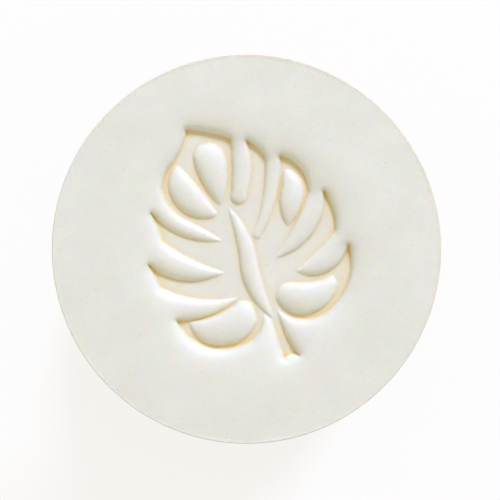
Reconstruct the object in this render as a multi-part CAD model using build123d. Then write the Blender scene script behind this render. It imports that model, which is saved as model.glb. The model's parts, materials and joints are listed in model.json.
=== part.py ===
from build123d import *
import math
import os

# A hand stamp for clay: a round of fired clay with a split leaf sunk in its face, on cork and a wooden mount
# that screw onto a turned handle. Sizes are in millimetres. The stamp stands on the end of its handle,
# face up. +Z points out of the face, +Y is the top of the picture, and the origin is the middle of the foot.

# Face
face_diameter = 50.0
face_thickness = 8.0
face_rim_round = 0.25
leaf_height = 29.4
leaf_depth = 1.55
finger_tip_rise = 0.4
window_crown = 1.1
midrib_crown = 0.75

# Cork between the clay and the wood
cork_diameter = 47.0
cork_thickness = 2.0

# Mount disc and the notch that marks the top of the leaf
mount_diameter = 46.0
mount_thickness = 9.0
mount_upper_round = 0.6
mount_lower_round = 3.0
notch_radius = 1.6
notch_depth = 0.9

# Screw thread that joins the head to the handle
thread_diameter = 6.0
thread_clearance = 0.05
stud_gap_below_cork = 0.8
stud_depth_in_knob = 20.0
stud_end_chamfer = 0.6

# Tee nut pressed into the mount disc
nut_flange_diameter = 18.0
nut_flange_thickness = 1.2
nut_barrel_diameter = 8.0
nut_barrel_length = 6.4
prong_count = 3
prong_width = 2.4
prong_thickness = 0.9
prong_length = 3.6
prong_radius = 7.2

# Washer that the head seats on
washer_diameter = 18.6
washer_thickness = 1.2
washer_bore_clearance = 0.25
washer_edge_round = 0.3

# Ferrule round the handle's tenon
ferrule_wall = 1.0
ferrule_bead_radius = 0.9
ferrule_bead_height = 2.2

# Pin through ferrule, tenon and stud
pin_diameter = 2.0
pin_proud = 0.25
pin_end_round = 0.2

# Turned knob
knob_body_height = 34.0
butt_diameter = 29.0
butt_edge_round = 1.2
belly_diameter = 38.0
belly_height = 12.5
waist_diameter = 18.6
waist_height = 31.0
shoulder_diameter = 19.4
tenon_diameter = 14.8
tenon_length = 10.0
groove_count = 3
groove_spacing = 2.6
groove_radius = 0.4

# Foot that the stamp stands on
foot_diameter = 25.0
foot_thickness = 2.0
foot_proud = 1.0
foot_edge_round = 0.4

# Gap all round between pieces that are glued or pushed together
glue_gap = 0.05

# How far a cutting shape runs past what it cuts
overrun = 1.0

# Levels along the axis, from the foot up
knob_base = foot_proud
shoulder_level = knob_base + knob_body_height
tenon_top = shoulder_level + tenon_length
mount_base = tenon_top + washer_thickness
cork_base = mount_base + mount_thickness
face_base = cork_base + cork_thickness
face_top = face_base + face_thickness
leaf_floor = face_top - leaf_depth
pin_level = shoulder_level + tenon_length / 2

stud_radius = thread_diameter / 2 - thread_clearance
tenon_radius = tenon_diameter / 2
ferrule_bore_radius = tenon_radius + glue_gap
ferrule_radius = ferrule_bore_radius + ferrule_wall
nut_flange_base = cork_base - nut_flange_thickness

# The leaf. Points are shares of leaf_height from the middle of the face. Each start in an outline is
# followed by a point that its arc passes through, or by None where the stroke is straight.
leaf_outline_shares = [
    # tip of the leaf, with a broad flat top
    (-0.264, 0.524), (-0.168, 0.511), (-0.077, 0.487), None, (-0.068, 0.480), None,
    # three lobes on the right, each between the mouths of two fingers
    (-0.002, 0.476), (0.043, 0.448), (0.081, 0.406), None,
    (0.146, 0.410), (0.227, 0.365), (0.273, 0.249), None,
    (0.338, 0.258), (0.377, 0.182), (0.391, 0.080), None,
    # lobe beside the stalk on the right
    (0.446, 0.022), (0.450, -0.127), (0.388, -0.240), (0.269, -0.310),
    # stalk, with the clay pushed up a little at its end
    (0.133, -0.262), (0.171, -0.367), (0.234, -0.467), (0.199, -0.460),
    (0.167, -0.480), (0.135, -0.389), (0.107, -0.310), None,
    # lobe beside the stalk on the left
    (0.076, -0.284), (0.050, -0.371), (-0.028, -0.424), (-0.168, -0.432), (-0.308, -0.310), None,
    # three lobes on the left, back up to the tip
    (-0.374, -0.172), (-0.403, -0.115), (-0.430, -0.066), None,
    (-0.369, 0.032), (-0.390, 0.095), (-0.417, 0.157), None,
    (-0.369, 0.249), (-0.360, 0.319), (-0.324, 0.376), (-0.288, 0.441),
]  # fmt: skip

# Fingers of clay between the lobes: from one end of the mouth, round the tip, to the other end.
finger_outline_shares = [
    [(-0.068, 0.480), (-0.062, 0.362), (-0.065, 0.249), (-0.036, 0.198), (0.002, 0.240), (0.020, 0.358),
     (-0.002, 0.476)],
    [(0.081, 0.406), (0.076, 0.249), (0.029, 0.066), (0.045, 0.044), (0.063, 0.061), (0.117, 0.183),
     (0.146, 0.410)],
    [(0.273, 0.249), (0.216, 0.118), (0.124, -0.040), (0.268, 0.043), (0.338, 0.258)],
    [(0.391, 0.080), (0.311, -0.009), (0.216, -0.096), (0.348, -0.100), (0.446, 0.022)],
    [(-0.308, -0.310), (-0.174, -0.295), (-0.035, -0.211), (-0.211, -0.221), (-0.374, -0.172)],
    [(-0.430, -0.066), (-0.270, -0.135), (-0.098, -0.105), (-0.170, -0.079), (-0.240, -0.048),
     (-0.310, -0.010), (-0.369, 0.032)],
    [(-0.417, 0.157), (-0.276, 0.059), (-0.107, 0.034), (-0.192, 0.087), (-0.265, 0.123),
     (-0.333, 0.177), (-0.369, 0.249)],
]  # fmt: skip

# Windows in the lobes, which stand up from the leaf as pillows.
window_outline_shares = [
    [(-0.290, 0.354), (-0.203, 0.258), (-0.124, 0.144), (-0.246, 0.152), (-0.328, 0.232), (-0.340, 0.301),
     (-0.317, 0.354), (-0.304, 0.360)],
    [(-0.212, 0.446), (-0.155, 0.459), (-0.099, 0.411), (-0.087, 0.301), (-0.111, 0.188), (-0.180, 0.275),
     (-0.230, 0.389), (-0.226, 0.427)],
    [(0.168, 0.350), (0.221, 0.321), (0.249, 0.249), (0.230, 0.168), (0.181, 0.099), (0.149, 0.179),
     (0.155, 0.271), (0.158, 0.314)],
    [(0.395, -0.109), (0.379, -0.205), (0.291, -0.277), (0.199, -0.276), (0.133, -0.218), (0.143, -0.171),
     (0.199, -0.149), (0.303, -0.142)],
    [(-0.252, -0.319), (-0.131, -0.290), (-0.033, -0.231), (0.025, -0.243), (0.047, -0.306),
     (0.004, -0.381), (-0.090, -0.416), (-0.193, -0.400)],
]  # fmt: skip

midrib_outline_shares = [
    (-0.085, 0.188), (-0.053, 0.079), (-0.030, -0.031), (0.002, -0.170),
    (0.120, -0.306), (0.077, -0.183), (0.048, -0.074), (0.009, 0.061),
]  # fmt: skip


def leaf_point(share, level=0.0):
    """The point of the face at these shares of the leaf's height."""
    return Vector(share[0] * leaf_height, share[1] * leaf_height, level)


def strokes(shares):
    """The lines and arcs through an open run of outline points: start, middle or None, start, and so on."""
    drawn = []
    for start, middle, end in zip(shares[:-2:2], shares[1:-1:2], shares[2::2]):
        if middle is None:
            drawn.append(Line(leaf_point(start), leaf_point(end)))
        else:
            drawn.append(ThreePointArc(leaf_point(start), leaf_point(middle), leaf_point(end)))
    return drawn


def raised(outline, low, high):
    """The upright block over a closed outline, between two levels."""
    return Pos(Z=low) * extrude(make_face(outline), amount=high - low)


def leaf_pocket():
    """Everything inside the leaf's outline, from its floor up through the face."""
    return raised(strokes(leaf_outline_shares + leaf_outline_shares[:1]), leaf_floor, face_top + overrun)


def finger(shares):
    """Clay between two lobes. It slopes from the face at its mouth down to its tip, just above the floor."""
    first, last = leaf_point(shares[0]), leaf_point(shares[-1])
    mouth = (first + last) / 2
    tip = max((leaf_point(share) for share in shares), key=lambda point: (point - mouth).length)
    outward = (mouth - tip).normalized() * overrun
    root = Polyline(last, last + outward, first + outward, first)
    block = raised(strokes(shares) + [root], leaf_floor - overrun, face_top)
    fall = tip - mouth + Vector(0, 0, finger_tip_rise - leaf_depth)
    across = Vector(0, 0, 1).cross(fall).normalized()
    slope = Plane(origin=mouth + Vector(0, 0, face_top), x_dir=fall, z_dir=fall.cross(across))
    return split(block, bisect_by=slope, keep=Keep.BOTTOM)


def pillow(shares, crown):
    """A raised block with a domed top, crown high at its middle and level with the floor at its ends."""
    block = raised(strokes(shares + shares[:1]), leaf_floor - overrun, face_top)
    reach = max((leaf_point(a) - leaf_point(b)).length for a in shares for b in shares) / 2
    radius = (reach**2 + crown**2) / (2 * crown)
    middle = block.bounding_box().center()
    return block & Pos(middle.X, middle.Y, leaf_floor + crown - radius) * Sphere(radius)


def disc(diameter, thickness, base):
    """A plain disc that stands on the given level."""
    return Pos(Z=base) * Cylinder(diameter / 2, thickness, align=(Align.CENTER, Align.CENTER, Align.MIN))


def rim(solid, level, tolerance=1e-4):
    """The outermost round edge of a solid at a level."""
    at_level = [edge for edge in solid.edges() if abs(edge.center().Z - level) < tolerance]
    return max(at_level, key=lambda edge: edge.bounding_box().size.X)


def make_leaf_face():
    """Round of fired clay with the leaf sunk in its face, and fingers, windows and midrib left standing."""
    body = disc(face_diameter, face_thickness, face_base)
    body = fillet([rim(body, face_top), rim(body, face_base)], face_rim_round)
    body -= leaf_pocket()
    for shares in finger_outline_shares:
        body += finger(shares)
    for shares in window_outline_shares:
        body += pillow(shares, window_crown)
    return body + pillow(midrib_outline_shares, midrib_crown)


def make_cork_backing():
    """Cork disc that takes up the unevenness between the clay and the wood."""
    return disc(cork_diameter, cork_thickness, cork_base)


def nut_prongs():
    """The prongs that bite into the wood under the tee nut's flange."""
    prong = Box(prong_thickness, prong_width, prong_length, align=(Align.CENTER, Align.CENTER, Align.MAX))
    return [Pos(Z=nut_flange_base) * place * prong for place in PolarLocations(prong_radius, prong_count)]


def make_mount_disc():
    """Turned beech disc that carries the cork and the face, with a notch in its rim at the leaf's top."""
    body = disc(mount_diameter, mount_thickness, mount_base)
    body = fillet(rim(body, cork_base), mount_upper_round)
    body = fillet(rim(body, mount_base), mount_lower_round)
    notch_place = mount_diameter / 2 + notch_radius - notch_depth
    body -= Pos(Y=notch_place) * disc(2 * notch_radius, mount_thickness + 2 * overrun, mount_base - overrun)
    body -= nut_prongs()
    body -= disc(nut_flange_diameter + 2 * glue_gap, nut_flange_thickness + overrun, nut_flange_base)
    bore = nut_barrel_diameter + 2 * glue_gap
    return body - disc(bore, mount_thickness + 2 * overrun, mount_base - overrun)


def make_tee_nut():
    """Tee nut with a plain bore at the thread's size."""
    barrel_base = nut_flange_base - nut_barrel_length
    body = disc(nut_flange_diameter, nut_flange_thickness, nut_flange_base)
    body += disc(nut_barrel_diameter, nut_barrel_length, barrel_base)
    body += nut_prongs()
    length = cork_base - barrel_base + 2 * overrun
    return body - disc(thread_diameter, length, barrel_base - overrun)


def make_seat_washer():
    """Washer on top of the ferrule, which the mount disc tightens against."""
    body = disc(washer_diameter, washer_thickness, tenon_top)
    body = fillet([rim(body, tenon_top), rim(body, mount_base)], washer_edge_round)
    bore = 2 * (stud_radius + washer_bore_clearance)
    return body - disc(bore, washer_thickness + 2 * overrun, tenon_top - overrun)


def make_stud():
    """Threaded rod, shown at the thread's outer size, from deep in the knob up into the tee nut."""
    low = shoulder_level - stud_depth_in_knob
    high = cork_base - stud_gap_below_cork
    rod = disc(2 * stud_radius, high - low, low)
    rod = chamfer([rim(rod, low), rim(rod, high)], stud_end_chamfer)
    return rod - pin_rod(pin_diameter)


def pin_rod(diameter):
    """The rod through ferrule, tenon and stud, along X."""
    length = 2 * (ferrule_radius + pin_proud)
    return Pos(Z=pin_level) * Rot(Y=90) * Cylinder(diameter / 2, length)


def make_ferrule_pin():
    """Brass pin with softened ends that stand just proud of the ferrule."""
    rod = pin_rod(pin_diameter)
    return fillet(rod.edges().filter_by(GeomType.CIRCLE), pin_end_round)


def make_ferrule():
    """Brass tube with a rolled bead near each end, tight round the tenon."""
    tube = disc(2 * ferrule_radius, tenon_length, shoulder_level)
    for level in (shoulder_level + ferrule_bead_height, tenon_top - ferrule_bead_height):
        tube += Pos(Z=level) * Torus(ferrule_radius, ferrule_bead_radius)
    tube -= disc(2 * ferrule_bore_radius, tenon_length + 2 * overrun, shoulder_level - overrun)
    return tube - pin_rod(pin_diameter)


def knob_side():
    """The turned outline from the butt's edge up to the shoulder. It stands upright at belly and waist."""
    return Spline(
        (butt_diameter / 2, 0, knob_base),
        (belly_diameter / 2, 0, knob_base + belly_height),
        (waist_diameter / 2, 0, knob_base + waist_height),
        (shoulder_diameter / 2, 0, shoulder_level),
        tangents=[(1, 0, 1), (0, 0, 1), (0, 0, 1), (1, 0, 2)],
    )


def make_knob():
    """Turned beech handle with a tenon on top, a recess for the foot and fine grooves round the belly."""
    side = knob_side()
    outline = [
        side,
        Polyline(
            side @ 1,
            (tenon_radius, 0, shoulder_level),
            (tenon_radius, 0, tenon_top),
            (0, 0, tenon_top),
            (0, 0, knob_base),
            side @ 0,
        ),
    ]
    body = revolve(make_face(outline), axis=Axis.Z)
    body = fillet(rim(body, knob_base), butt_edge_round)
    for step in range(groove_count):
        level = knob_base + belly_height + (step - (groove_count - 1) / 2) * groove_spacing
        around = section(body, section_by=Plane.XY.offset(level)).bounding_box().size.X / 2
        body -= Pos(Z=level) * Torus(around, groove_radius)
    body -= disc(foot_diameter + 2 * glue_gap, foot_thickness - foot_proud + overrun, knob_base - overrun)
    hole_base = shoulder_level - stud_depth_in_knob
    body -= disc(2 * (stud_radius + glue_gap), tenon_top + overrun - hole_base, hole_base)
    return body - pin_rod(pin_diameter)


def make_leather_foot():
    """Leather disc let into the butt, which the stamp stands on."""
    foot = disc(foot_diameter, foot_thickness, 0)
    return fillet(rim(foot, 0), foot_edge_round)


makers = {
    "leaf_face": make_leaf_face,
    "cork_backing": make_cork_backing,
    "mount_disc": make_mount_disc,
    "tee_nut": make_tee_nut,
    "seat_washer": make_seat_washer,
    "stud": make_stud,
    "ferrule": make_ferrule,
    "ferrule_pin": make_ferrule_pin,
    "knob": make_knob,
    "leather_foot": make_leather_foot,
}

os.makedirs("parts", exist_ok=True)
for name, make in makers.items():
    export_step(make(), f"parts/{name}.step")
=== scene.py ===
import json
import math

import bmesh
import bpy
import numpy as np
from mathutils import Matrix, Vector, noise
from mathutils.bvhtree import BVHTree


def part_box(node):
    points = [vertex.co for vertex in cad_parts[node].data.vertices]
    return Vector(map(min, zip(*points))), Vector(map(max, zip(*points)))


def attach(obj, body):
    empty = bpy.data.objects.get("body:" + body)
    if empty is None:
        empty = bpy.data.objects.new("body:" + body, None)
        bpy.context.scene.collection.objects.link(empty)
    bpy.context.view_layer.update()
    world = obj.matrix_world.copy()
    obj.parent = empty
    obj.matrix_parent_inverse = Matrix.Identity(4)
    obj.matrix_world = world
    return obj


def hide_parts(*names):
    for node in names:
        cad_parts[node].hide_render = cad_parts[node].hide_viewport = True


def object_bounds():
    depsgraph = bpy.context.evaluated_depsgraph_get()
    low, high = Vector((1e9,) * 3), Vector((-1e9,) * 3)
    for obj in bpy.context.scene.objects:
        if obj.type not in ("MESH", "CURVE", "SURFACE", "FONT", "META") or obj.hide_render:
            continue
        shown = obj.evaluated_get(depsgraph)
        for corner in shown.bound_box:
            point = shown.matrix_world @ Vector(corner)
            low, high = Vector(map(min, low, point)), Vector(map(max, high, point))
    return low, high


# A hand stamp for clay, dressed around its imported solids. Lengths are in metres.
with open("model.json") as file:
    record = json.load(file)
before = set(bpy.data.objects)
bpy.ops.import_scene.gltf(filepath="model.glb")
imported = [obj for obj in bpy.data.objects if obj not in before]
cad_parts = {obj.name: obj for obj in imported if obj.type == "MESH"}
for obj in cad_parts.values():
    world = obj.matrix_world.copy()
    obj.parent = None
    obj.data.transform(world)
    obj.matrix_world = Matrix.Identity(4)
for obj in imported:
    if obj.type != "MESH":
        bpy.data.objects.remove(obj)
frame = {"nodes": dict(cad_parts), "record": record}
cad_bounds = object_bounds()
nodes = frame["nodes"]

MM = 0.001

# The photograph: its size, and the width and middle of the round face in it, in pixels
PHOTO_SIZE_PX = 500
PHOTO_DISC_PX = 389.4
PHOTO_DISC_CENTRE_PX = (246.5, 249.0)

FACE_LOW, FACE_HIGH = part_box("leaf_face")
FACE_RADIUS = FACE_HIGH.x
FACE_TOP = FACE_HIGH.z

# The raster on which the leaf is read from the solid, and the share of the radius that holds the leaf
RASTER_CELL = 0.08 * MM
LEAF_SPAN_SHARE = 0.65

# Above which share of the depth clay counts as standing, and how much less the lowest of it swells
RAISED_SHARE = 0.97
LOWERING_SHARE = 0.2

# How far standing clay takes to level off, where its swelling is bent over, and a last blur
SOFT_REACH = 1.56 * MM
SOFT_LIMIT = 2.8 * MM
RELIEF_BLUR = 0.07 * MM

# The wide bank round the leaf: how far it takes to level off, and its share of the rise
BANK_REACH = 3.2 * MM
BANK_SHARE = 0.22

# Rasters for the swelling: how many times coarser each is, and how many rounds it is pushed
SWELL_RASTERS = ((8, 150), (4, 100), (2, 70), (1, 50))

# Painted shade in the creases: how far round they are compared, how deep a full one is, its soft end, and
# the shade's strength
CREASE_REACH = 0.48 * MM
CREASE_DEPTH = 0.42 * MM
CREASE_BLUR = 0.1 * MM
CREASE_SHADE_SHARE = 0.8

# The face's mesh: half its cells across, how many are evenly spaced, and how the rest widen to the edge
GRID_HALF_CELLS = 205
GRID_FINE_SHARE = 0.75
GRID_POWER = 9
MOST_TRIANGLES = 190000

# The rounded edge of the clay
FACE_EDGE_ROUND = 0.14 * MM
EDGE_STEPS = 4

# Clay in steps of 255: its pale and deep patches, pores, the painted warm shade in its creases, and the
# painted grey shade on its side and back
CLAY_PALE = (233, 234, 229)
CLAY_DEEP = (229, 230, 223)
CLAY_PORE = (205, 203, 190)
CLAY_CREASE_SHADE = (233, 200, 110)
CLAY_SIDE_SHADE = (215, 213, 206)

# How close the clay's patches, unevenness and pores lie, along X, Y and Z
CLAY_PATCHES = (0.22 / MM, 0.22 / MM, 0.22 / MM)
CLAY_UNEVENNESS = (1.3 / MM, 2.1 / MM, 1.7 / MM)
CLAY_PORES = (3.2 / MM, 4.2 / MM, 3.6 / MM)

# How deep light goes under the clay's skin, with shares of that for red, green and blue
CLAY_SCATTER = 0.3 * MM
CLAY_SCATTER_SHARES = (1.0, 0.6, 0.25)

# The clay's least and greatest roughness, its shine, and the depth of its unevenness
CLAY_ROUGHNESS = (0.46, 0.56)
CLAY_SHINE = 0.65
CLAY_BUMP = 0.02 * MM

# Cork crumbs: their size, and how deep and how far in they are missing from the edge
CORK_CRUMB = 0.9 * MM
CORK_CHIP_DEPTH = 0.28 * MM
CORK_CHIP_REACH = 1.0 * MM

# Above which noise a crumb of cork is missing, and the share of finer noise
CORK_CHIP_START = 0.08
CORK_FINE_SHARE = 0.25

# The mesh of the cork
CORK_FLAT_INSET = 2.0 * MM
CORK_EDGE_ROUND = 0.12 * MM
CORK_SIDE_ROWS = 16
CORK_SEGMENTS = 900

# The look of the cork, with colours in steps of 255
CORK_PALE = (208, 165, 112)
CORK_BROWN = (150, 104, 62)
CORK_GAP = (92, 60, 36)
CORK_ROUGHNESS = 0.85
CORK_SHINE = 0.25
CORK_BUMP = 0.12 * MM

# The mesh of the leather foot
LEATHER_EDGE_ROUND = 0.45 * MM
LEATHER_WAIST = 0.08 * MM
LEATHER_SEGMENTS = 256

# The look of the leather: how close its pebbles, grain and patches lie, and colours in steps of 255
LEATHER_PEBBLES = (1.7 / MM, 1.7 / MM, 1.7 / MM)
LEATHER_GRAIN = (6 / MM, 6 / MM, 6 / MM)
LEATHER_PATCHES = (0.3 / MM, 0.3 / MM, 0.3 / MM)
LEATHER_DARK = (86, 52, 32)
LEATHER_SCUFFED = (122, 80, 52)
LEATHER_CREASE = (48, 28, 18)
LEATHER_ROUGHNESS = (0.5, 0.7)
LEATHER_BUMP = 0.05 * MM

# Thread on the stud, whose pitch is what the head rises in one turn
THREAD_PITCH = 2 * math.pi * frame["record"]["behaviour"]["couplings"][0]["ratio"]
THREAD_DEPTH_SHARE = 0.613
THREAD_CREST_SHARE = 1 / 16
THREAD_ROOT_SHARE = 6 / 16
THREAD_ROWS = 16
THREAD_COLUMNS = 40
THREAD_END_CHAMFER = 0.6 * MM
WELD_DISTANCE = 0.001 * MM

# Width and length of the lines, flecks and patches in beech
BEECH_LINE = (0.35 * MM, 9 * MM)
BEECH_FLECK = (0.22 * MM, 2.2 * MM)
BEECH_PATCH = (9 * MM, 30 * MM)

# The growth rings: how close they lie, and how the wood is shifted from their heart
BEECH_RINGS = 0.13 / MM
KNOB_HEART = (31 * MM, 12 * MM, 0)
MOUNT_HEART = (0, 4 * MM, 40 * MM)

# Colours of beech in steps of 255
BEECH_DARK = (190, 138, 92)
BEECH_PALE = (221, 177, 130)
BEECH_FLECKED = (138, 88, 52)
BEECH_BURNT = (72, 42, 26)

# Roughness of beech in its dark lines and between them, its shine, and the depth of the lines
BEECH_ROUGHNESS = (0.52, 0.38)
BEECH_SHINE = 0.45
BEECH_BUMP = 0.02 * MM

# The thin coat of oil on beech
OIL_COAT_SHARE = 0.12
OIL_ROUGHNESS = 0.3

# Burnt lines in the knob's three grooves
GROOVE_MIDDLE = 13.5 * MM
GROOVE_SPACING = 2.6 * MM
GROOVE_HALF_WIDTH = 0.5 * MM

# How close the turning marks and the tarnish on metal lie, and how deep the marks are
METAL_MARKS = (12 / MM, 12 / MM, 12 / MM)
METAL_TARNISH = (0.35 / MM, 0.35 / MM, 0.35 / MM)
METAL_BUMP = 0.008 * MM

# The bright and the tarnished colour of each metal, and its roughness
STUD_STEEL = ((0.62, 0.62, 0.6, 1), (0.42, 0.41, 0.39, 1), 0.3)
ZINCED_STEEL = ((0.66, 0.67, 0.68, 1), (0.5, 0.5, 0.47, 1), 0.36)
WASHER_BRASS = ((0.73, 0.57, 0.31, 1), (0.56, 0.42, 0.23, 1), 0.24)
FERRULE_BRASS = ((0.75, 0.58, 0.32, 1), (0.57, 0.42, 0.23, 1), 0.26)
PIN_BRASS = ((0.71, 0.54, 0.29, 1), (0.52, 0.38, 0.2, 1), 0.32)

# The floor, and how much of its own whiteness the camera sees, the rest being lit and shadowed
FLOOR_HALF = 2000 * MM
FLOOR_GAP = 0.02 * MM
FLOOR_COLOUR = (250, 250, 249)
FLOOR_ROUGHNESS = 0.9
FLOOR_GLOW_SHARE = 0.78

# The sky's colours low and overhead, and the heights between which they change, as shares of its top
SKY_LOW = (0.56, 0.62, 0.64, 1)
SKY_OVERHEAD = (0.688, 0.591, 0.362, 1)
SKY_FADE_SHARES = (0.2, 0.75)

# The main lamp, seen from the middle of the face
KEY_AZIMUTH = math.radians(68)
KEY_ELEVATION = math.radians(36)
KEY_DISTANCE = 1200 * MM
KEY_WIDTH = 300 * MM
KEY_POWER = 15.2
KEY_COLOUR = (0.59, 0.655, 0.935)

# The camera, which counts its sensor and lens in millimetres
CAMERA_DISTANCE = 800 * MM
CAMERA_NEAR = 10 * MM
SENSOR_WIDTH_MM = 36.0


def cell_centres(half_span, cell):
    """Evenly spaced places from minus half_span to plus half_span."""
    count = 2 * int(round(half_span / cell)) + 1
    return np.linspace(-half_span, half_span, count)


def surface_tree(node):
    """A search tree over a solid's faces."""
    mesh = node.data
    return BVHTree.FromPolygons([v.co for v in mesh.vertices], [p.vertices for p in mesh.polygons])


def face_heights(places):
    """Heights of the solid face on a square raster, rows along Y and columns along X. Only the middle,
    where the leaf is, is read from the solid; the rest is level."""
    tree = surface_tree(nodes["leaf_face"])
    start = FACE_TOP + FACE_RADIUS
    down = Vector((0, 0, -1))
    heights = np.full((len(places), len(places)), FACE_TOP)
    middle = np.nonzero(abs(places) < LEAF_SPAN_SHARE * FACE_RADIUS)[0]
    for row in middle:
        for column in middle:
            above = Vector((places[column], places[row], start))
            heights[row, column] = tree.ray_cast(above, down)[0].z
    return heights


def neighbours(field):
    """The four neighbours of each cell, with the raster's edge repeated."""
    padded = np.pad(field, 1, mode="edge")
    return padded[:-2, 1:-1], padded[2:, 1:-1], padded[1:-1, :-2], padded[1:-1, 2:]


def blurred(field, cells):
    """The field under a small bell-shaped blur."""
    reach = int(math.ceil(3 * cells))
    offsets = np.arange(-reach, reach + 1)
    weights = np.exp(-0.5 * (offsets / cells) ** 2)
    weights /= weights.sum()
    padded = np.pad(field, reach, mode="edge")
    rows = sum(w * padded[i : i + field.shape[0], :] for i, w in enumerate(weights))
    return sum(w * rows[:, i : i + field.shape[1]] for i, w in enumerate(weights))


def swollen(inside, cell, reach):
    """Swelling of the inside cells under an even push, held at 0 outside and levelling off over the reach.
    It is worked out on ever finer rasters, each starting from the one before."""
    field = None
    for shrink, rounds in SWELL_RASTERS:
        part = inside[shrink // 2 :: shrink, shrink // 2 :: shrink]
        size = cell * shrink
        if field is None:
            field = np.zeros(part.shape)
        else:
            doubled = np.pad(np.kron(field, np.ones((2, 2))), ((0, 1), (0, 1)), mode="edge")
            field = doubled[: part.shape[0], : part.shape[1]]
        for _ in range(rounds):
            pushed = (sum(neighbours(field)) + size**2) / (4 + (size / reach) ** 2)
            field = np.where(part, pushed, 0.0)
    return field


def leaf_relief(places):
    """The softened leaf as heights from 0, the face, down. What the solid leaves standing swells up from
    the leaf's floor: steep at its foot, rounder the higher it is, and level with the face away from the
    leaf. A wide low bank leads down to the leaf's edge."""
    cell = places[1] - places[0]
    heights = face_heights(places)
    depth = FACE_TOP - heights.min()
    drop = (FACE_TOP - heights) / depth
    standing = drop < RAISED_SHARE
    swell = np.sqrt(2 * swollen(standing, cell, SOFT_REACH)) * (1 - LOWERING_SHARE * drop)
    rise = np.tanh(swell / SOFT_LIMIT) / math.tanh(math.sqrt(2) * SOFT_REACH / SOFT_LIMIT)
    bank = np.sqrt(swollen(standing, cell, BANK_REACH)) / BANK_REACH
    rise += BANK_SHARE * (bank - rise)
    return -depth * blurred(1 - rise, RELIEF_BLUR / cell)


def sampled(field, places, x, y):
    """Values of a raster field between its cells. Outside the raster it is the nearest edge's value."""
    cell = places[1] - places[0]
    most = len(places) - 1.001
    u = np.clip((x - places[0]) / cell, 0, most)
    v = np.clip((y - places[0]) / cell, 0, most)
    i, j = u.astype(int), v.astype(int)
    s, t = u - i, v - j
    low = field[j, i] * (1 - s) + field[j, i + 1] * s
    high = field[j + 1, i] * (1 - s) + field[j + 1, i + 1] * s
    return low * (1 - t) + high * t


def round_grid(radius):
    """A square grid of points bent to fill a circle, finest in the middle."""
    step = np.linspace(-1, 1, 2 * GRID_HALF_CELLS + 1)
    warped = GRID_FINE_SHARE * step + (1 - GRID_FINE_SHARE) * step**GRID_POWER
    u, v = np.meshgrid(warped, warped)
    return radius * u * np.sqrt(1 - v**2 / 2), radius * v * np.sqrt(1 - u**2 / 2)


def grid_faces(rows, columns):
    """The quads of a grid of points, counter-clockwise from above."""
    index = np.arange(rows * columns).reshape(rows, columns)
    corners = (index[:-1, :-1], index[:-1, 1:], index[1:, 1:], index[1:, :-1])
    return np.stack([c.ravel() for c in corners], axis=1).tolist()


def grid_border(count):
    """The indices of a square grid's outer points, counter-clockwise."""
    index = np.arange(count * count).reshape(count, count)
    sides = (index[0, :-1], index[:-1, -1], index[-1, :0:-1], index[:0:-1, 0])
    return np.concatenate(sides).tolist()


def add_piece(name, points, faces, material, body, node):
    """A smooth mesh piece that rides on a body and stands for a solid."""
    mesh = bpy.data.meshes.new(name)
    mesh.from_pydata([tuple(p) for p in points], [], faces)
    mesh.validate()
    mesh.polygons.foreach_set("use_smooth", [True] * len(mesh.polygons))
    mesh.materials.append(material)
    piece = bpy.data.objects.new(name, mesh)
    bpy.context.scene.collection.objects.link(piece)
    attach(piece, body)
    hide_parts(node)
    return piece


def thin_out(piece, most):
    """Merges triangles where the surface is flattest, until no more than most are left."""
    triangles = sum(len(p.vertices) - 2 for p in piece.data.polygons)
    thinner = piece.modifiers.new("thinner", "DECIMATE")
    thinner.ratio = min(1.0, most / triangles)
    bpy.context.view_layer.objects.active = piece
    bpy.ops.object.modifier_apply(modifier=thinner.name)


def make_leaf_face(material):
    """The round of clay: relief on top, a small rounded edge, a straight side and a flat back."""
    places = cell_centres(FACE_RADIUS, RASTER_CELL)
    relief = leaf_relief(places)
    x, y = round_grid(FACE_RADIUS - FACE_EDGE_ROUND)
    z = FACE_TOP + sampled(relief, places, x, y)
    # Mask of the creases, where the clay's colour gets a painted warm shade
    around = blurred(relief, CREASE_REACH / RASTER_CELL)
    hollow = blurred(np.clip((around - relief) / CREASE_DEPTH, 0, 1), CREASE_BLUR / RASTER_CELL)
    crease = sampled(hollow, places, x, y).ravel()
    points = np.stack([x.ravel(), y.ravel(), z.ravel()], axis=1).tolist()
    faces = grid_faces(*x.shape)
    ring = grid_border(len(x))
    angles = [math.atan2(points[i][1], points[i][0]) for i in ring]
    levels = []
    for step in range(1, EDGE_STEPS + 1):
        turn = math.pi / 2 * step / EDGE_STEPS
        inset = FACE_EDGE_ROUND * (1 - math.sin(turn))
        levels.append((FACE_RADIUS - inset, FACE_TOP - FACE_EDGE_ROUND * (1 - math.cos(turn))))
    for radius, level in reversed(levels):
        levels.append((radius, FACE_LOW.z + FACE_TOP - level))
    for radius, level in levels:
        base = len(points)
        points += [(radius * math.cos(a), radius * math.sin(a), level) for a in angles]
        new_ring = list(range(base, base + len(ring)))
        for k in range(len(ring)):
            after = (k + 1) % len(ring)
            faces.append((ring[k], new_ring[k], new_ring[after], ring[after]))
        ring = new_ring
    middle = len(points)
    points.append((0, 0, FACE_LOW.z))
    faces += [(ring[(k + 1) % len(ring)], ring[k], middle) for k in range(len(ring))]
    piece = add_piece("leaf_face_clay", points, faces, material, "head", "leaf_face")
    others = len(points) - len(crease)
    # Point values for the material: the creases that get painted warm shade, and the side and back that get
    # painted grey shade
    for attribute, values in (
        ("crease", np.append(crease, np.zeros(others))),
        ("side", np.append(np.zeros(len(crease)), np.ones(others))),
    ):
        piece.data.attributes.new(attribute, "FLOAT", "POINT").data.foreach_set("value", values)
    thin_out(piece, MOST_TRIANGLES)
    return piece


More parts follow.
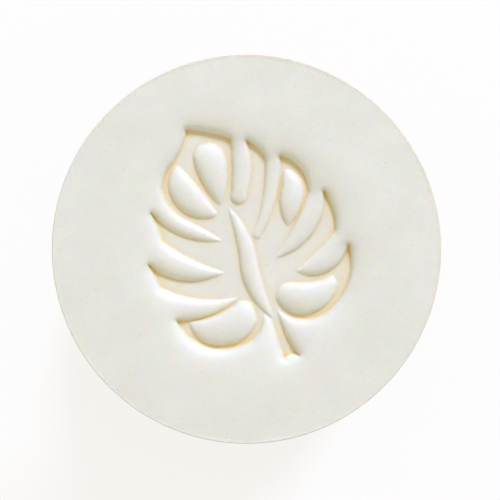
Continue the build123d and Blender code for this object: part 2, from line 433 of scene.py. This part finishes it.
def turned(profile, segments):
    """The points and faces of a profile of radius and level turned about the Z axis. It starts on the axis
    underneath, runs outwards and up, and ends on the axis on top."""
    points = [(0, 0, profile[0][1])]
    for radius, level in profile[1:-1]:
        for k in range(segments):
            angle = 2 * math.pi * k / segments
            points.append((radius * math.cos(angle), radius * math.sin(angle), level))
    points.append((0, 0, profile[-1][1]))
    faces = []
    for ring in range(len(profile) - 3):
        start = 1 + ring * segments
        for k in range(segments):
            after = (k + 1) % segments
            faces.append((start + k, start + after, start + segments + after, start + segments + k))
    last = 1 + (len(profile) - 3) * segments
    for k in range(segments):
        after = (k + 1) % segments
        faces.append((0, 1 + after, 1 + k))
        faces.append((last + k, last + after, len(points) - 1))
    return points, faces


def corner(radius, level, round_by, upper, steps=5):
    """Profile points round a convex corner of a turned piece, from below to above."""
    run = []
    for step in range(steps + 1):
        turn = math.pi / 2 * step / steps
        across, along = (math.cos(turn), math.sin(turn)) if upper else (math.sin(turn), -math.cos(turn))
        middle = level - round_by if upper else level + round_by
        run.append((radius - round_by + round_by * across, middle + round_by * along))
    return run


def make_cork_backing(material):
    """The cork disc, with crumbs missing from its cut edge."""
    low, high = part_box("cork_backing")
    radius = high.x
    flat_radius = radius - CORK_FLAT_INSET
    foot, head = low.z + CORK_EDGE_ROUND, high.z - CORK_EDGE_ROUND
    side_levels = np.linspace(foot, head, CORK_SIDE_ROWS + 2)[1:-1]
    profile = [(0, low.z), (flat_radius, low.z)] + corner(radius, low.z, CORK_EDGE_ROUND, False)
    profile += [(radius, level) for level in side_levels]
    profile += corner(radius, high.z, CORK_EDGE_ROUND, True) + [(flat_radius, high.z), (0, high.z)]
    points, faces = turned(profile, CORK_SEGMENTS)
    chipped = []
    for x, y, z in points:
        place = Vector((x, y, z)) / CORK_CRUMB
        fine = CORK_FINE_SHARE * max(0.0, noise.noise(3 * place))
        hollow = max(0.0, noise.noise(place) - CORK_CHIP_START) + fine
        reach = math.hypot(x, y)
        near_edge = reach > radius - CORK_CHIP_REACH
        depth = CORK_CHIP_DEPTH * min(1.0, 2 * hollow) if near_edge else 0.0
        shrink = (reach - depth) / reach if reach else 1.0
        chipped.append((x * shrink, y * shrink, z))
    return add_piece("cork_backing_sheet", chipped, faces, material, "head", "cork_backing")


def make_leather_foot(material):
    """The leather disc under the knob, with rounded edges and a slightly hollow side."""
    low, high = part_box("leather_foot")
    radius = high.x
    middle = (low.z + high.z) / 2
    profile = [(0, low.z), (radius / 2, low.z)] + corner(radius, low.z, LEATHER_EDGE_ROUND, False)
    profile += [(radius - LEATHER_WAIST, middle)]
    profile += corner(radius, high.z, LEATHER_EDGE_ROUND / 2, True) + [(radius / 2, high.z), (0, high.z)]
    points, faces = turned(profile, LEATHER_SEGMENTS)
    return add_piece("leather_foot_disc", points, faces, material, "handle", "leather_foot")


def thread_radius(phase, crest):
    """Radius of the thread at a share of its pitch from the middle of the crest: a narrow flat crest,
    straight flanks and a wider flat root."""
    root = crest - THREAD_DEPTH_SHARE * THREAD_PITCH
    from_crest = abs((phase + 0.5) % 1 - 0.5)
    return np.interp(from_crest, (THREAD_CREST_SHARE, THREAD_ROOT_SHARE), (crest, root))


def make_stud(material):
    """The threaded rod: a grid that climbs by one pitch a turn, so that its rows follow the thread."""
    low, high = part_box("stud")
    crest = high.x
    turns = math.ceil((high.z - low.z) / THREAD_PITCH)
    angles = np.linspace(0, 2 * math.pi, THREAD_COLUMNS + 1)
    rows = np.arange(-THREAD_ROWS, turns * THREAD_ROWS + 1)
    climb = rows[:, None] / THREAD_ROWS + angles[None, :] / (2 * math.pi)
    z = np.clip(low.z + THREAD_PITCH * climb, low.z, high.z)
    phase = (z - low.z) / THREAD_PITCH - angles[None, :] / (2 * math.pi)
    from_end = np.minimum(z - low.z, high.z - z)
    radius = np.minimum(thread_radius(phase, crest), crest - THREAD_END_CHAMFER + from_end)
    points = np.stack([radius * np.cos(angles), radius * np.sin(angles), z], axis=2).reshape(-1, 3).tolist()
    faces = grid_faces(*z.shape)
    count = THREAD_COLUMNS + 1
    last_row = len(points) - count
    points += [(0, 0, low.z), (0, 0, high.z)]
    for k in range(THREAD_COLUMNS):
        faces.append((len(points) - 2, k + 1, k))
        faces.append((last_row + k, last_row + k + 1, len(points) - 1))
    piece = add_piece("stud_thread", points, faces, material, "handle", "stud")
    mesh = bmesh.new()
    mesh.from_mesh(piece.data)
    bmesh.ops.remove_doubles(mesh, verts=mesh.verts, dist=WELD_DISTANCE)
    mesh.to_mesh(piece.data)
    mesh.free()
    return piece


def node_tree(name):
    """A new material with only its Principled shader and output, and a function that adds nodes to it."""
    material = bpy.data.materials.new(name)
    material.use_nodes = True
    tree = material.node_tree
    shader = next(n for n in tree.nodes if n.type == "BSDF_PRINCIPLED")

    def add(kind, inputs=None, **settings):
        made = tree.nodes.new(kind)
        for key, value in settings.items():
            setattr(made, key, value)
        for key, value in (inputs or {}).items():
            if isinstance(value, bpy.types.NodeSocket):
                tree.links.new(value, made.inputs[key])
            else:
                made.inputs[key].default_value = value
        return made

    return material, tree, shader, add


def linear(red, green, blue):
    """A colour given in sRGB steps of 255, as the linear values that shaders take."""
    steps = [c / 255 for c in (red, green, blue)]
    return [c / 12.92 if c <= 0.04045 else ((c + 0.055) / 1.055) ** 2.4 for c in steps] + [1.0]


def stretched(add, scale):
    """The piece's own coordinates, multiplied along each axis."""
    place = add("ShaderNodeTexCoord").outputs["Object"]
    return add("ShaderNodeMapping", {"Vector": place, "Scale": scale}).outputs["Vector"]


def ramp(add, value, low, high, first, last):
    """A colour that goes from first to last while the value goes from low to high."""
    share = add("ShaderNodeMapRange", {"Value": value, "From Min": low, "From Max": high}).outputs[0]
    return over(add, share, first, last)


def over(add, share, under, top):
    """The top colour laid over the one under it."""
    return add("ShaderNodeMix", {"Factor": share, "A": under, "B": top}, data_type="RGBA").outputs["Result"]


def between(add, value, low, high, first, last):
    """A number that goes from first to last while the value goes from low to high."""
    inputs = {"Value": value, "From Min": low, "From Max": high, "To Min": first, "To Max": last}
    return add("ShaderNodeMapRange", inputs).outputs[0]


def calc(add, operation, *values):
    """One sum or comparison on numbers or sockets."""
    return add("ShaderNodeMath", dict(enumerate(values)), operation=operation).outputs[0]


def noise_value(add, vector, detail=3.0):
    """Soft noise at the scale of the vector."""
    return add("ShaderNodeTexNoise", {"Vector": vector, "Scale": 1.0, "Detail": detail}).outputs["Fac"]


def set_bump(tree, shader, add, height, distance, strength=1.0):
    """Small relief on the shader."""
    bump = add("ShaderNodeBump", {"Height": height, "Strength": strength, "Distance": distance})
    tree.links.new(bump.outputs["Normal"], shader.inputs["Normal"])


def make_clay():
    """Pale fired clay: smooth, with a faint pressed unevenness and a few fine pores, with a painted warm
    shade in the creases of the leaf, a painted grey shade on its side and back, and with light scattered
    under its skin."""
    material, tree, shader, add = node_tree("fired_clay")
    clouds = noise_value(add, stretched(add, CLAY_PATCHES), 3.0)
    uneven = noise_value(add, stretched(add, CLAY_UNEVENNESS), 3.0)
    pores = noise_value(add, stretched(add, CLAY_PORES), 1.0)
    pore = between(add, pores, 0.68, 0.76, 0.0, 1.0)
    body = ramp(add, clouds, 0.3, 0.7, linear(*CLAY_DEEP), linear(*CLAY_PALE))
    crease = add("ShaderNodeAttribute", attribute_name="crease").outputs["Fac"]
    side = add("ShaderNodeAttribute", attribute_name="side").outputs["Fac"]
    # Painted shade: the side and back are coloured greyer, so that the side facing the lamp is not lit too
    # bright
    side_shaded = over(add, side, body, linear(*CLAY_SIDE_SHADE))
    # Painted shade: a warm ochre laid into the leaf's creases, standing in for the shadow that falls there
    painted_shade = calc(add, "MULTIPLY", crease, CREASE_SHADE_SHARE)
    crease_shaded = over(add, painted_shade, side_shaded, linear(*CLAY_CREASE_SHADE))
    colour = over(add, calc(add, "MULTIPLY", pore, 0.5), crease_shaded, linear(*CLAY_PORE))
    tree.links.new(colour, shader.inputs["Base Color"])
    tree.links.new(between(add, uneven, 0.3, 0.7, *CLAY_ROUGHNESS), shader.inputs["Roughness"])
    shader.inputs["Specular IOR Level"].default_value = CLAY_SHINE
    shader.inputs["Subsurface Weight"].default_value = 1.0
    shader.inputs["Subsurface Radius"].default_value = CLAY_SCATTER_SHARES
    shader.inputs["Subsurface Scale"].default_value = CLAY_SCATTER
    height = calc(add, "SUBTRACT", uneven, calc(add, "MULTIPLY", pore, 0.6))
    set_bump(tree, shader, add, height, CLAY_BUMP, 0.5)
    return material


def make_cork():
    """Pressed cork: pale and brown crumbs with dark gaps and specks."""
    material, tree, shader, add = node_tree("cork")
    crumbs = stretched(add, (1 / CORK_CRUMB,) * 3)
    cells = add("ShaderNodeTexVoronoi", {"Vector": crumbs, "Scale": 1.0})
    edges = add("ShaderNodeTexVoronoi", {"Vector": crumbs, "Scale": 1.0}, feature="DISTANCE_TO_EDGE")
    shade = add("ShaderNodeSeparateColor", {"Color": cells.outputs["Color"]}).outputs[0]
    fine = noise_value(add, stretched(add, (5 / CORK_CRUMB,) * 3))
    mixed = calc(add, "ADD", calc(add, "MULTIPLY", shade, 0.7), calc(add, "MULTIPLY", fine, 0.5))
    crumb = ramp(add, mixed, 0.25, 0.95, linear(*CORK_BROWN), linear(*CORK_PALE))
    gap = between(add, edges.outputs["Distance"], 0.0, 0.09, 0.75, 0.0)
    speck = between(add, fine, 0.62, 0.7, 0.0, 0.8)
    colour = over(add, calc(add, "MAXIMUM", gap, speck), crumb, linear(*CORK_GAP))
    tree.links.new(colour, shader.inputs["Base Color"])
    shader.inputs["Roughness"].default_value = CORK_ROUGHNESS
    shader.inputs["Specular IOR Level"].default_value = CORK_SHINE
    set_bump(tree, shader, add, calc(add, "SUBTRACT", fine, gap), CORK_BUMP, 0.8)
    return material


def make_beech(name, along, heart, grooves=False):
    """Oiled beech: faint growth rings round a heart outside the piece, fine lines along one axis and short
    dark flecks. With grooves, the knob's three grooves are burnt dark."""
    material, tree, shader, add = node_tree(name)

    def grain(width, length):
        scale = [1 / width] * 3
        scale["XYZ".index(along)] = 1 / length
        return stretched(add, scale)

    lines = noise_value(add, grain(*BEECH_LINE), 5.0)
    flecks = noise_value(add, grain(*BEECH_FLECK), 1.0)
    clouds = noise_value(add, grain(*BEECH_PATCH), 2.0)
    place = add("ShaderNodeTexCoord").outputs["Object"]
    moved = add("ShaderNodeMapping", {"Vector": place, "Location": heart}).outputs["Vector"]
    waves = {"Vector": moved, "Scale": BEECH_RINGS, "Distortion": 2.5, "Detail": 2.0, "Detail Scale": 0.6}
    profile = {"wave_type": "RINGS", "rings_direction": along, "wave_profile": "SAW"}
    rings = add("ShaderNodeTexWave", waves, **profile).outputs["Fac"]
    ringed = calc(add, "MULTIPLY", rings, 0.35)
    lined = calc(add, "ADD", ringed, calc(add, "MULTIPLY", lines, 0.4))
    tone = calc(add, "ADD", lined, calc(add, "MULTIPLY", clouds, 0.5))
    wood = ramp(add, tone, 0.35, 0.95, linear(*BEECH_DARK), linear(*BEECH_PALE))
    fleck = between(add, flecks, 0.60, 0.70, 0.0, 0.55)
    colour = over(add, fleck, wood, linear(*BEECH_FLECKED))
    if grooves:
        level = add("ShaderNodeSeparateXYZ", {"Vector": place}).outputs["Z"]
        step = calc(add, "DIVIDE", calc(add, "SUBTRACT", level, GROOVE_MIDDLE), GROOVE_SPACING)
        nearest = calc(add, "ROUND", calc(add, "MINIMUM", calc(add, "MAXIMUM", step, -1.0), 1.0))
        away = calc(add, "ABSOLUTE", calc(add, "SUBTRACT", step, nearest))
        burnt = between(add, away, 0.0, GROOVE_HALF_WIDTH / GROOVE_SPACING, 0.8, 0.0)
        colour = over(add, burnt, colour, linear(*BEECH_BURNT))
    tree.links.new(colour, shader.inputs["Base Color"])
    tree.links.new(between(add, lines, 0.3, 0.7, *BEECH_ROUGHNESS), shader.inputs["Roughness"])
    shader.inputs["Specular IOR Level"].default_value = BEECH_SHINE
    shader.inputs["Coat Weight"].default_value = OIL_COAT_SHARE
    shader.inputs["Coat Roughness"].default_value = OIL_ROUGHNESS
    set_bump(tree, shader, add, calc(add, "SUBTRACT", lines, fleck), BEECH_BUMP, 0.5)
    return material


def make_metal(name, bright, dull, roughness):
    """Turned metal: fine marks that run round the axis, and a slight tarnish in patches."""
    material, tree, shader, add = node_tree(name)
    place = add("ShaderNodeTexCoord").outputs["Object"]
    parts = add("ShaderNodeSeparateXYZ", {"Vector": place})
    flat = add("ShaderNodeCombineXYZ", {"X": parts.outputs["X"], "Y": parts.outputs["Y"]}).outputs[0]
    reach = add("ShaderNodeVectorMath", {0: flat}, operation="LENGTH").outputs["Value"]
    across = add("ShaderNodeCombineXYZ", {"X": reach, "Z": parts.outputs["Z"]}).outputs[0]
    scaled = add("ShaderNodeMapping", {"Vector": across, "Scale": METAL_MARKS}).outputs["Vector"]
    marks = noise_value(add, scaled, 2.0)
    patches = noise_value(add, stretched(add, METAL_TARNISH), 4.0)
    tree.links.new(ramp(add, patches, 0.4, 0.75, bright, dull), shader.inputs["Base Color"])
    shader.inputs["Metallic"].default_value = 1.0
    worn = calc(add, "MULTIPLY", calc(add, "ADD", marks, patches), 0.5)
    rough = between(add, worn, 0.35, 0.65, 0.75 * roughness, 1.3 * roughness)
    tree.links.new(rough, shader.inputs["Roughness"])
    set_bump(tree, shader, add, marks, METAL_BUMP, 0.5)
    return material


def make_leather():
    """Dark brown leather: a fine pebbled grain, paler where it is scuffed."""
    material, tree, shader, add = node_tree("foot_leather")
    pebbles = stretched(add, LEATHER_PEBBLES)
    edges = add("ShaderNodeTexVoronoi", {"Vector": pebbles, "Scale": 1.0}, feature="DISTANCE_TO_EDGE")
    fine = noise_value(add, stretched(add, LEATHER_GRAIN))
    clouds = noise_value(add, stretched(add, LEATHER_PATCHES), 4.0)
    hide = ramp(add, clouds, 0.35, 0.7, linear(*LEATHER_DARK), linear(*LEATHER_SCUFFED))
    crease = between(add, edges.outputs["Distance"], 0.0, 0.12, 0.6, 0.0)
    colour = over(add, crease, hide, linear(*LEATHER_CREASE))
    tree.links.new(colour, shader.inputs["Base Color"])
    tree.links.new(between(add, fine, 0.3, 0.7, *LEATHER_ROUGHNESS), shader.inputs["Roughness"])
    raised = between(add, edges.outputs["Distance"], 0.0, 0.25, 0.0, 1.0)
    height = calc(add, "ADD", raised, calc(add, "MULTIPLY", fine, 0.3))
    set_bump(tree, shader, add, height, LEATHER_BUMP, 0.9)
    return material


def dress_node(node, material):
    """Gives a solid that stays in view its material."""
    mesh = nodes[node].data
    mesh.materials.clear()
    mesh.materials.append(material)


def background_rays(nodes_of_tree, links):
    """1 for rays that should see the plain background: the camera's, and mirrored and transmitted ones."""
    path = nodes_of_tree.new("ShaderNodeLightPath")
    total = path.outputs["Is Camera Ray"]
    for kind in ("Is Glossy Ray", "Is Transmission Ray"):
        either = nodes_of_tree.new("ShaderNodeMath")
        either.operation = "MAXIMUM"
        links.new(total, either.inputs[0])
        links.new(path.outputs[kind], either.inputs[1])
        total = either.outputs[0]
    return total


def make_floor():
    """A large pale floor that shows white to the camera and keeps the object's shadow."""
    mesh = bpy.data.meshes.new("floor")
    level = cad_bounds[0][2] - FLOOR_GAP
    corners = [(x * FLOOR_HALF, y * FLOOR_HALF, level) for x, y in ((-1, -1), (1, -1), (1, 1), (-1, 1))]
    mesh.from_pydata(corners, [], [(0, 1, 2, 3)])
    floor = bpy.data.objects.new("floor", mesh)
    bpy.context.scene.collection.objects.link(floor)
    material, tree, shader, add = node_tree("floor_paper")
    shader.inputs["Base Color"].default_value = linear(*FLOOR_COLOUR)
    shader.inputs["Roughness"].default_value = FLOOR_ROUGHNESS
    glow = add("ShaderNodeEmission", {"Color": (1, 1, 1, 1), "Strength": 1.0})
    share = calc(add, "MULTIPLY", background_rays(tree.nodes, tree.links), FLOOR_GLOW_SHARE)
    mix = add("ShaderNodeMixShader", {"Fac": share, 1: shader.outputs[0], 2: glow.outputs[0]})
    output = next(n for n in tree.nodes if n.type == "OUTPUT_MATERIAL")
    tree.links.new(mix.outputs[0], output.inputs["Surface"])
    mesh.materials.append(material)


def make_world():
    """Soft light from all round, warm overhead and cooler below, which the camera sees as plain white."""
    world = bpy.data.worlds.new("studio")
    world.use_nodes = True
    tree = world.node_tree
    tree.nodes.clear()
    direction = tree.nodes.new("ShaderNodeTexCoord")
    split = tree.nodes.new("ShaderNodeSeparateXYZ")
    tree.links.new(direction.outputs["Generated"], split.inputs[0])
    height = tree.nodes.new("ShaderNodeMapRange")
    height.interpolation_type = "SMOOTHSTEP"
    height.inputs["From Min"].default_value = SKY_FADE_SHARES[0]
    height.inputs["From Max"].default_value = SKY_FADE_SHARES[1]
    tree.links.new(split.outputs["Z"], height.inputs["Value"])
    sky = tree.nodes.new("ShaderNodeMix")
    sky.data_type = "RGBA"
    sky.inputs["A"].default_value = SKY_LOW
    sky.inputs["B"].default_value = SKY_OVERHEAD
    tree.links.new(height.outputs[0], sky.inputs["Factor"])
    fill = tree.nodes.new("ShaderNodeBackground")
    tree.links.new(sky.outputs["Result"], fill.inputs["Color"])
    white = tree.nodes.new("ShaderNodeBackground")
    white.inputs["Color"].default_value = (1, 1, 1, 1)
    mix = tree.nodes.new("ShaderNodeMixShader")
    output = tree.nodes.new("ShaderNodeOutputWorld")
    tree.links.new(background_rays(tree.nodes, tree.links), mix.inputs["Fac"])
    tree.links.new(fill.outputs[0], mix.inputs[1])
    tree.links.new(white.outputs[0], mix.inputs[2])
    tree.links.new(mix.outputs[0], output.inputs["Surface"])
    bpy.context.scene.world = world


def make_key_light():
    """A soft window-like light from the top of the picture, a little to the right."""
    lamp = bpy.data.lights.new("key", "AREA")
    lamp.shape = "DISK"
    lamp.size = KEY_WIDTH
    lamp.energy = KEY_POWER
    lamp.color = KEY_COLOUR
    key = bpy.data.objects.new("key", lamp)
    bpy.context.scene.collection.objects.link(key)
    out = math.cos(KEY_ELEVATION)
    toward = Vector((math.cos(KEY_AZIMUTH) * out, math.sin(KEY_AZIMUTH) * out, math.sin(KEY_ELEVATION)))
    key.location = Vector((0, 0, FACE_TOP)) + KEY_DISTANCE * toward
    key.rotation_euler = toward.to_track_quat("Z", "Y").to_euler()


def make_camera():
    """A long lens that looks straight down, with the top of the picture towards +Y."""
    metres_per_px = 2 * FACE_RADIUS / PHOTO_DISC_PX
    view_width = PHOTO_SIZE_PX * metres_per_px
    lens = bpy.data.cameras.new("camera")
    lens.sensor_width = SENSOR_WIDTH_MM
    lens.lens = SENSOR_WIDTH_MM * CAMERA_DISTANCE / view_width
    lens.clip_start = CAMERA_NEAR
    camera = bpy.data.objects.new("camera", lens)
    bpy.context.scene.collection.objects.link(camera)
    middle = PHOTO_SIZE_PX / 2
    across, down = PHOTO_DISC_CENTRE_PX
    x, y = (middle - across) * metres_per_px, (down - middle) * metres_per_px
    camera.location = (x, y, FACE_TOP + CAMERA_DISTANCE)
    bpy.context.scene.camera = camera


bpy.context.scene.view_settings.view_transform = "Standard"
make_floor()
make_world()
make_key_light()
make_camera()
make_leaf_face(make_clay())
make_cork_backing(make_cork())
make_leather_foot(make_leather())
make_stud(make_metal("stud_steel", *STUD_STEEL))
dress_node("knob", make_beech("oiled_beech", "Z", KNOB_HEART, grooves=True))
dress_node("mount_disc", make_beech("beech", "X", MOUNT_HEART))
dress_node("tee_nut", make_metal("zinced_steel", *ZINCED_STEEL))
dress_node("seat_washer", make_metal("brass_washer", *WASHER_BRASS))
dress_node("ferrule", make_metal("ferrule_brass", *FERRULE_BRASS))
dress_node("ferrule_pin", make_metal("pin_brass", *PIN_BRASS))
